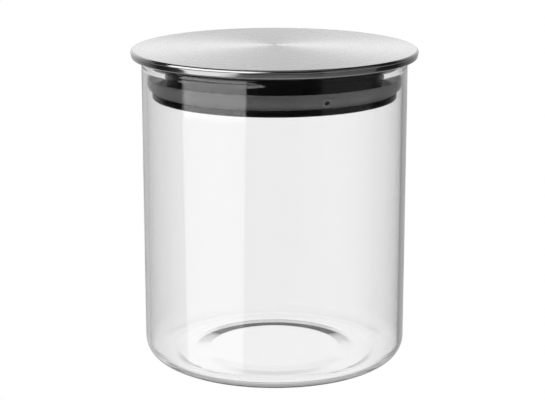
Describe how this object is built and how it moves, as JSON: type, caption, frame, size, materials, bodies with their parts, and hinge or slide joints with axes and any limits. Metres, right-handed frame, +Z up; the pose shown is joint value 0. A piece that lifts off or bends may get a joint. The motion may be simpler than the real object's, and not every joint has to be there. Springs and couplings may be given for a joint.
{
  "type": "lidded glass canister",
  "caption": "Straight clear glass storage jar with a push-in lid: brushed steel cover, black plug and grey silicone lip seal.",
  "frame": {"origin": "on the jar's axis, at the height of the ring it stands on", "axes": "+Z up along the jar's axis, towards the lid; the front, with the seal's air hole just to its right, faces -Y"},
  "size_m": [0.108, 0.108, 0.1205],
  "materials": {
    "clear_glass": "clear, fire polished",
    "brushed_steel": "spun brushed top, polished rolled edge",
    "disc_plastic": "plain moulded",
    "black_plastic": "smooth moulded, satin gloss",
    "grey_silicone": "smooth translucent silicone"
  },
  "bodies": {
    "jar": {"glass_jar": "clear_glass"},
    "seal": {"lip_seal": "grey_silicone"},
    "lid": {"lid_cover": "brushed_steel", "backing_disc": "disc_plastic", "plug_neck": "black_plastic", "plug_base": "black_plastic"}
  },
  "joints": [
    {"name": "lid_lift", "type": "slide", "parent": "jar", "child": "seal", "axis": [0, 0, 1], "range_m": [0, 0.06]},
    {"name": "lid_turn", "type": "hinge", "parent": "seal", "child": "lid", "pos_m": [0, 0, 0.105], "axis": [0, 0, 1], "continuous": true}
  ]
}
